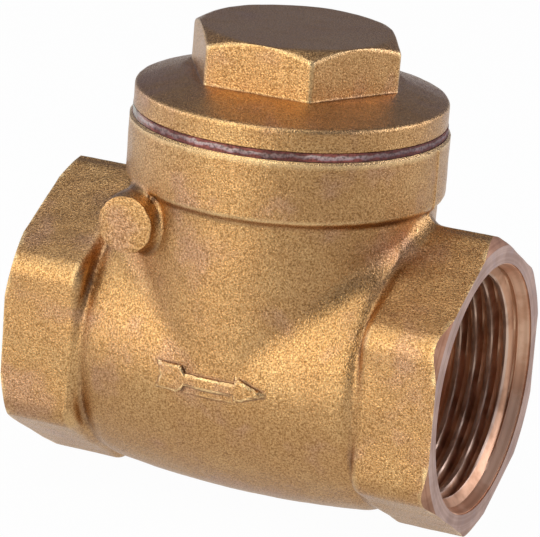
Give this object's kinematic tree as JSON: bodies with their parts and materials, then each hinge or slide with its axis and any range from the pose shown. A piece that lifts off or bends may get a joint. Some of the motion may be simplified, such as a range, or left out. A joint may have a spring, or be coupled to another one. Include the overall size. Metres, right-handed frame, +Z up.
{
  "type": "non-return valve",
  "caption": "Cast brass swing non-return valve with hexagon threaded socket ends, a screwed bonnet and a hinged sealing clapper inside.",
  "frame": {"origin": "where the pipe axis meets the bonnet axis, in the middle of the clapper chamber", "axes": "+X along the flow from the inlet to the outlet, +Z up along the bonnet, the hinge pin along Y"},
  "size_m": [0.0629, 0.0434, 0.0657],
  "materials": {
    "cast_brass": "shot-blasted casting",
    "turned_brass": "turned, semi-bright",
    "fibre": "pressed red-brown fibre",
    "rubber": "moulded, matt",
    "steel": "drawn wire"
  },
  "bodies": {
    "root": {"body": "cast_brass", "bonnet": "cast_brass", "bonnet_gasket": "fibre", "hinge_pin": "steel", "pin_plug": "turned_brass", "plug_washer": "fibre"},
    "clapper": {"swing_arm": "cast_brass"},
    "disc_set": {"disc": "turned_brass", "disc_seal": "rubber", "seal_retainer": "turned_brass", "retainer_nut": "turned_brass", "disc_washer": "turned_brass", "disc_nut": "turned_brass", "split_pin": "steel"}
  },
  "joints": [
    {"name": "clapper_swing", "type": "hinge", "parent": "root", "child": "clapper", "pos_m": [-0.0142, 0, 0.0194], "axis": [0, -1, 0], "range_deg": [0, 58]},
    {"name": "disc_spin", "type": "hinge", "parent": "clapper", "child": "disc_set", "pos_m": [-0.0067, 0, 0], "axis": [1, 0, 0], "continuous": true}
  ]
}
